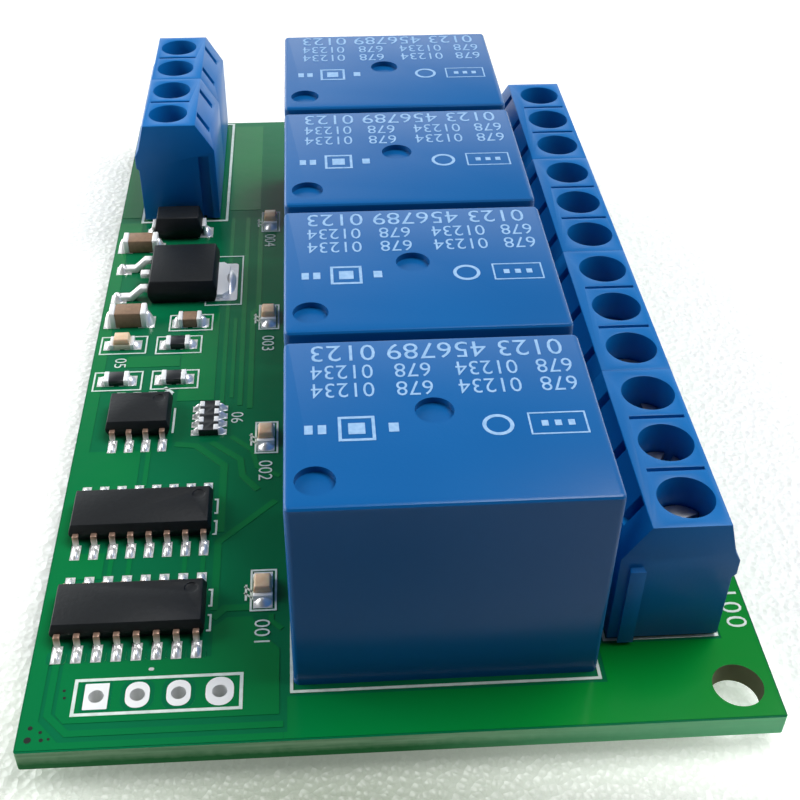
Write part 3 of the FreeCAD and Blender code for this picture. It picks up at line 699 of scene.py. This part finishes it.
def terminal(name, poles):
    """One housing with its sloped wall at x 0 and its front at y 0."""
    length = pole_pitch * poles
    profile = [(0, 0), (7.25, 0), (7.25, 5.65), (7.5, 5.9), (7.5, 7.1), (7.1, 7.85),
               (6.45, 10.25), (1.6, 10.25), (0, 7.6)]
    housing = extruded(name, [profile], lambda x, z: spot(x, 0, z), (0, length / 1000, 0))
    rib = [(0.58, -0.45), (1.62, -0.45), (1.5, 0.1), (0.7, 0.1)]
    carve(housing, flat_layer("rib", [rib], 0, 6.9), "UNION")
    socket = [(0.53, length - 0.5), (1.67, length - 0.5),
              (1.55, length + 0.2), (0.65, length + 0.2)]
    carve(housing, flat_layer("socket", [socket], -0.5, 6.95))
    centres = [pole_pitch * (pole + 0.5) for pole in range(poles)]
    # The wall falls 2.65 mm over 1.6 mm, and the test slots lie square to it.
    slope = -math.atan2(2.65, 1.6)
    wells = []
    slots = []
    for y in centres:
        wells.append(drum(1.8, 6, spot(well_x, y, 7.95), 48))
        alone()
        bpy.ops.mesh.primitive_cube_add(
            size=1, location=spot(1.024, y, 9.296), rotation=(0, slope, 0),
            scale=(0.002, 0.00085, 0.0016))
        slots.append(bpy.context.object)
    under = block(-1, 9, -1, length + 1, -1, 0.3)
    carve(under, joined("skids", [
        block(x, x + 0.9, 0.4, length - 0.4, -2, 1) for x in (0.4, 5.95)]))
    carve(housing, under)
    carve(housing, joined("cavities", [
        block(1.5, 6.3, y - 1.98, y + 1.98, -1, 5.95) for y in centres]))
    carve(housing, joined("wells", wells))
    carve(housing, joined("entries", [
        block(well_x, 9, y - 1.5, y + 1.5, 1.7, 5.0) for y in centres]))
    carve(housing, joined("slots", slots))
    carve(housing, joined("grooves", [
        block(2.4, 6.1, pole_pitch * i - 0.15, pole_pitch * i + 0.15, 9.95, 11)
        for i in range(1, poles)]))
    rounded(housing, 0.12)
    return housing


# Nylon, brighter and duller than the relays because it is moulded warm and matt. The
# shades are 9 mm wide, and the mould's fine grain is drawn 0.24 mm wide.
terminal_blue = mottled(
    "moulded_blue_nylon", "0462A6", "066AB0", 0.11 * per_mm,
    grain=(4.2 * per_mm, 0.06, 0.0001), Roughness=0.38, IOR=1.52, Specular_IOR_Level=0.18)
three_pole = terminal("three_pole_housing", 3)
two_pole = terminal("two_pole_housing", 2)
corner = Matrix.Translation(-spot(0, 0))
half_turn = Matrix.Rotation(math.pi, 4, "Z")
for source, label, count, x, y, length, turned in (
    (three_pole, "output", 4, output_left, output_front, 3 * pole_pitch, Matrix()),
    (two_pole, "input", 2, input_right, input_front + 2 * pole_pitch, 2 * pole_pitch, half_turn),
):
    for i in range(count):
        piece = duplicate(source, Matrix.Translation(spot(x, y + length * i)) @ turned @ corner)
        piece.name = "%s_housing_%d" % (label, i + 1)
        stand_in(piece, "%s_terminal_%d" % (label, i + 1), terminal_blue)
    bpy.data.objects.remove(source, do_unlink=True)


# Terminal metal. Zinc-plated slotted screws, turned and stamped, hold nickel-plated
# wire cages, and a bent tinned strip takes the current down through the board.

# Barrel-plated zinc: blue-white, scuffed over 0.5 mm by the other screws. Nickel on
# brass: warmer and brighter, in shades 0.7 mm wide.
zinc = plated("zinc_plated_steel", "B9BCC0", 1.0, 2.2 * per_mm, 3.0, 0.25, 0.5)
nickel = plated("nickel_plated_brass", "C9C4B6", 1.0, 1.5 * per_mm, 3.0, 0.22, 0.4)

# One screw is made round the Z axis at its real height, then copied to each well and
# left at a turn of its own, as a hand would leave it.
head = drum(1.65, 1.5, (0, 0, 0.0100), 40)
alone()
bpy.ops.mesh.primitive_cube_add(
    size=1, location=(0, 0, 0.0107), scale=(0.005, 0.0006, 0.0017))
carve(head, bpy.context.object)
alone(head)
baked()
rounded(head, 0.12)
shank = drum(1.25, 1.5, (0, 0, 0.00855), 24)
baked()
bpy.ops.object.shade_smooth_by_angle(angle=math.radians(40))
screw = joined("clamp_screw", [head, shank])
for label, count, x, start in (
    ("output", output_poles, output_left + well_x, output_front),
    ("input", input_poles, input_right - well_x, input_front),
):
    copies = []
    for i in range(count):
        place = spot(x, start + pole_pitch * (i + 0.5))
        turned = Matrix.Rotation(math.radians((37 * i + 20) % 180), 4, "Z")
        copies.append(duplicate(screw, Matrix.Translation((place.x, place.y, 0)) @ turned))
    screws = joined(label + "_clamp_screws", copies)
    stand_in(screws, label + "_terminal_screws", zinc)
    coat(label + "_wire_clamps", nickel)
    coat(label + "_contact_strips", tin)
bpy.data.objects.remove(screw, do_unlink=True)


# Chips. Black epoxy moulded round a copper lead frame, with sloping sides and a round mark by
# the first lead. The gull-wing leads are tinned, white low down and brown higher up.
def softened(node, name, width, material):
    """A copy of a CAD node, its triangles merged to faces and its edges rounded."""
    piece = bpy.data.objects.new(name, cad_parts[node].data.copy())
    bpy.context.scene.collection.objects.link(piece)
    alone(piece)
    bpy.ops.object.mode_set(mode="EDIT")
    bpy.ops.mesh.select_all(action="SELECT")
    bpy.ops.mesh.remove_doubles(threshold=0.000002)
    bpy.ops.mesh.dissolve_limited(angle_limit=math.radians(1))
    bpy.ops.object.mode_set(mode="OBJECT")
    rounded(piece, width)
    stand_in(piece, node, material)


def solder_ends(x, y, reach, width, height, angle=0):
    """Note the solder at both ends of a part, whose length lies along an angle."""
    out = Vector((math.cos(math.radians(angle)), math.sin(math.radians(angle)))) * reach
    feet.append((x + out.x, y + out.y, width, height, angle))
    feet.append((x - out.x, y - out.y, width, height, angle + 180))


# Epoxy filled with ground quartz, off a matt mould: black with a dull, gritty sheen.
# The grit is far finer than a pixel and is drawn 0.3 mm wide.
epoxy = mottled(
    "moulded_black_epoxy", "090C0F", "12171B", 3.2 * per_mm, 3.0,
    grain=(3.2 * per_mm, 0.2, 0.0001), Roughness=0.5, IOR=1.5, Specular_IOR_Level=0.25)
# Tin dipped and trimmed: white near the board, and warm brown higher up on the shoulders.
leads, tree, shader = new_material("tin_on_copper_white_to_brown", Metallic=0.7, Roughness=0.36)
point = add(tree, "ShaderNodeTexCoord").outputs["Object"]
axes = add(tree, "ShaderNodeSeparateXYZ", {"Vector": point})
raised = add(tree, "ShaderNodeMapRange", {
    "Value": axes.outputs["Z"], "From Min": 0.0030, "From Max": 0.0036})
add(tree, "ShaderNodeMix", {
    "Factor": raised.outputs["Result"], mix_a: linear("F0F0EE"), mix_b: linear("A98A78"),
}, feeds=(mix_out, shader.inputs["Base Color"]), data_type="RGBA")
feet = []  # every solder joint: x, y, width, height, and the way that it points
for label, x, y, ways in (
    ("front", 5.98, 10.15, 8), ("rear", 5.98, 19.05, 8), ("small", 4.75, 30.05, 4),
):
    softened(label + "_chip_body", label + "_chip_moulding", 0.06, epoxy)
    softened(label + "_chip_leads", label + "_chip_lead_frame", 0.05, leads)
    for way in range(ways):
        lead_x = x + (way - (ways - 1) / 2) * lead_pitch
        solder_ends(lead_x, y, 3.05, 0.62, 0.3, 90)


# Regulator. A larger epoxy block on a tinned copper heat tab, with two formed
# leads to the left and a cropped one between them, over a wide bare solder pad.
tab_width = 4.1
softened("regulator_body", "regulator_moulding", 0.1, epoxy)
softened("regulator_heat_tab", "regulator_tab", 0.06, tin)
softened("regulator_leads", "regulator_formed_leads", 0.08, tin)
for y in (47.01, 51.59):
    feet.append((1.15, y, 1.25, 0.65, 180))
feet.append((11.05, 49.3, tab_width, 0.5, 0))


# Diode. A black epoxy block moulded round its die, with a tinned copper strap
# folded down and under each end, and soldered flat.
softened("diode_body", "diode_moulding", 0.1, epoxy)
softened("diode_straps", "diode_folded_straps", 0.05, tin)
solder_ends(5.95, 57.95, 2.55, 1.75, 0.6)


# Capacitors. Brown ceramic blocks, pressed in layers and fired, with metal ends
# dipped and tinned.

# Fired and tumbled ceramic: matt, with specks drawn 0.4 mm wide.
ceramic = mottled(
    "fired_brown_ceramic", "6E5745", "94765C", 2.6 * per_mm, Roughness=0.55)
for node in ("front_capacitor", "rear_capacitor", "small_capacitor"):
    softened(node, node + "_ceramic", 0.1, ceramic)
softened("capacitor_ends", "capacitor_tinned_ends", 0.1, tin)
solder_ends(2.55, 43.4, 1.6, 1.6, 1.1)
solder_ends(2.5, 55.4, 1.6, 1.6, 1.0)
solder_ends(7.85, 43.0, 1.0, 1.25, 0.7)


# Resistors. Thick-film chips: black glaze on white ceramic with tinned ends, three
# singles and an array of four in one body.

# The glaze is screened on and fired: smooth and shiny, in tones 0.6 mm wide.
glaze = mottled("black_resistor_glaze", "14171A", "22262A", 1.8 * per_mm, Roughness=0.3)
softened("resistor_bodies", "resistor_glazed_chips", 0.05, glaze)
softened("resistor_ends", "resistor_tinned_ends", 0.06, tin)
softened("resistor_array_body", "resistor_array_chip", 0.04, glaze)
softened("resistor_array_ends", "resistor_array_tinned_ends", 0.04, tin)
for x, y in ((2.35, 35.2), (7.0, 35.2), (7.0, 39.95)):
    solder_ends(x, y, 1.0, 1.25, 0.42)
for way in range(4):
    solder_ends(10.15, 29.85 + (way - 1.5) * 0.95, 0.78, 0.6, 0.5)


# Indicator lights. A white laminate base with tinned ends carries a moulded block
# of clear resin, which looks straw-coloured over the die.

# Sawn laminate: matt, with a weave drawn 0.5 mm wide.
laminate = mottled(
    "white_lamp_laminate", "C9BFA4", "EAE2CE", 2.0 * per_mm, Roughness=0.5)
# Cast resin: smooth, and light sinks in a little, so that it looks soft.
lens = mottled(
    "milky_lamp_resin", "C4A07C", "E6CDAE", 1.5 * per_mm, Roughness=0.25,
    Subsurface_Weight=0.3, Subsurface_Scale=0.0004)
softened("led_bases", "lamp_bases", 0.04, laminate)
softened("led_lenses", "lamp_lenses", 0.08, lens)
softened("led_ends", "lamp_tinned_ends", 0.04, tin)
channel_lamps = (12.0, 27.6, 43.6, 59.6)
solder_ends(2.3, 40.1, 1.0, 1.25, 0.38)
for y in channel_lamps:
    solder_ends(14.62, y, 1.0, 1.25, 0.38, 90)


# Surface solder. Paste melted at every foot: a bright mound against the end of
# the lead, wetted out over a flat tinned pad. One stray fleck lies by the header.

# Solder freezes bright but not mirror-smooth, with ripples 0.9 mm wide.
solder, tree, shader = new_material(
    "bright_melted_solder", Metallic=0.65, Roughness=0.32, Base_Color=linear("F8F8F8"))
point = add(tree, "ShaderNodeTexCoord").outputs["Object"]
relief(tree, shader, point, 1.1 * per_mm, 1.0, 0.18, 0.0002)
pad_behind, pad_ahead, mound_reach = 0.8, 0.6, 0.6
pads = []
mounds = []
for x, y, width, height, angle in feet:
    out = Vector((math.cos(math.radians(angle)), math.sin(math.radians(angle))))
    if width < tab_width:  # the heat tab has a pad of its own
        ends = [(x - out.x * pad_behind, y - out.y * pad_behind),
                (x + out.x * pad_ahead, y + out.y * pad_ahead)]
        pads.append(ribbon(ends, width + 0.04))
    alone()
    bpy.ops.mesh.primitive_uv_sphere_add(segments=16, ring_count=8, radius=0.001)
    mound = bpy.context.object
    bpy.ops.object.mode_set(mode="EDIT")
    bpy.ops.mesh.select_all(action="SELECT")
    bpy.ops.mesh.bisect(
        plane_co=(0, 0, 0), plane_no=(0, 0, 1), clear_inner=True, use_fill=True)
    bpy.ops.object.mode_set(mode="OBJECT")
    # Squaring the height pulls the ball's shoulders in to a wetted, hollow slope.
    for vertex in mound.data.vertices:
        vertex.co.z = vertex.co.z * abs(vertex.co.z) / 0.001
    size = Matrix.Diagonal((mound_reach, width / 2, height * 1.15, 1.0))
    turned = Matrix.Rotation(math.radians(angle), 4, "Z")
    mound.data.transform(Matrix.Translation(spot(x, y, 0.02)) @ turned @ size)
    mounds.append(mound)
pads.append(oblong(8.0, 11.75, 46.3, 52.3, 0.3))
pads.append(oblong(7.5, 7.85, 5.66, 5.9, 0.12))
melted = joined("surface_solder_mounds", mounds)
bpy.ops.object.shade_smooth_by_angle(angle=math.radians(60))
stand_in(melted, "surface_solder", solder)
settle(flat_layer("tinned_pads", pads, 0.0, 0.045), solder)


# Through-hole solder. Under the board each tail stands in a bright cone that was
# drawn up round it by the solder wave.
tails = []  # where each tail comes through, with the radius of its cone's tip
for i in range(4):
    y = relay_front + relay_pitch * i
    tails.append((18.1, y + 7.7, 0.62))
    tails += [(20.05, y + 1.7, 0.49), (20.05, y + 13.7, 0.49)]
    tails += [(32.25, y + 1.7, 0.62), (32.25, y + 13.7, 0.62)]
for x, start, count in ((40.6, output_front, output_poles), (5.95, input_front, input_poles)):
    tails += [(x, start + pole_pitch * (i + 0.5), 0.575) for i in range(count)]
cone_height, cone_foot, waist = 0.85, 1.15, 0.22  # it is drawn in by the waist's share
underside = spot(0, 0, -board_thickness).z
cones = []
for x, y, tip in tails:
    centre = spot(x, y, -board_thickness - cone_height / 2)
    alone()
    bpy.ops.mesh.primitive_cone_add(
        vertices=20, radius1=tip / 1000, radius2=cone_foot / 1000,
        depth=cone_height / 1000, location=centre)
    cone = bpy.context.object
    baked()
    pick_edges(cone, lambda a, b: abs(a.z - b.z) > 0.0005)
    bpy.ops.mesh.subdivide(number_cuts=2)
    bpy.ops.object.mode_set(mode="OBJECT")
    for vertex in cone.data.vertices:
        depth = (underside - vertex.co.z) * 1000 / cone_height
        if 0.1 < depth < 0.9:
            pull = 1 - waist * math.sin(math.pi * depth)
            vertex.co.x = centre.x + (vertex.co.x - centre.x) * pull
            vertex.co.y = centre.y + (vertex.co.y - centre.y) * pull
    cones.append(cone)
drawn = joined("pin_solder_cones", cones)
bpy.ops.object.shade_smooth_by_angle(angle=math.radians(50))
stand_in(drawn, "pin_solder", solder)


# Silk-screen. White ink on the lacquer: outlines of the parts and plain numbers
# for the channels and poles.
def outline_frame(x0, x1, y0, y1, width):
    """Four strips round a rectangle."""
    return [
        oblong(x0, x1, y0, y0 + width),
        oblong(x0, x1, y1 - width, y1),
        oblong(x0, x0 + width, y0 + width, y1 - width),
        oblong(x1 - width, x1, y0 + width, y1 - width),
    ]


# Epoxy ink pressed through a mesh: dull, and thin enough for the lacquer to tint it
# in patches 0.6 mm wide.
white_ink = mottled("white_screen_ink", "A9BBB2", "DDE6E0", 1.8 * per_mm, Roughness=0.55)
lines = outline_frame(3.0, 13.5, 2.42, 5.22, 0.22)
for i in range(4):
    y = relay_front + relay_pitch * i
    lines += outline_frame(16.42, 36.0, y - 0.62, y + 15.6, 0.2)
lines += outline_frame(36.65, 44.25, 6.4, 67.6, 0.2)
lines += outline_frame(2.0, 10.45, 59.95, 80.7, 0.25)
for y in (8.7, 17.4):
    lines.append(ribbon([(10.95, y), (11.2, y), (11.2, y + 1.3), (11.0, y + 1.3)], 0.14))
    lines.append(ribbon(
        [(11.0, y + 2.1), (11.2, y + 2.1), (11.2, y + 3.5), (10.95, y + 3.5)], 0.14))
lines += [oblong(7.25, 7.42, 28.5, 31.5), ribbon([(6.3, 34.2), (7.0, 33.4)], 0.3)]
for x0, x1, y0, y1 in (
    (0.4, 4.4, 33.95, 36.45), (5.1, 9.0, 33.95, 36.45), (5.1, 9.0, 38.7, 41.2),
    (0.4, 4.35, 38.85, 41.35), (6.0, 9.8, 41.9, 44.3), (8.9, 12.2, 45.6, 53.6),
):
    lines += outline_frame(x0, x1, y0, y1, 0.13)
for y in channel_lamps:
    lines += outline_frame(13.75, 15.55, y - 1.85, y + 1.85, 0.14)
    lines.append(ribbon([(13.35, y + 0.35), (14.0, y - 0.25)], 0.13))
    lines.append(ribbon([(13.35, y - 0.2), (14.0, y - 0.8)], 0.13))
    lines.append(oblong(13.4, 13.55, y - 0.9, y + 0.5))
screen = [flat_layer("outlines", lines, 0.02, 0.052)]
number_height = 0.038
for i, y in enumerate((8.35, 23.85, 39.75, 56.2), 1):
    screen.append(number(str(i).zfill(3), spot(14.55, y, number_height), 1.5, -90))
for i in range(output_poles):
    place = spot(45.85, 6.2 + pole_pitch * (i + 0.5), number_height)
    screen.append(number(str(i + 1).zfill(3), place, 1.95, 90, 1.1, 1.15))
screen.append(number("06", spot(12.25, 30.1, number_height), 1.4, -90))
screen.append(number("05", spot(2.3, 37.6, number_height), 1.4, -90))
settle(joined("screen_print", screen), white_ink)
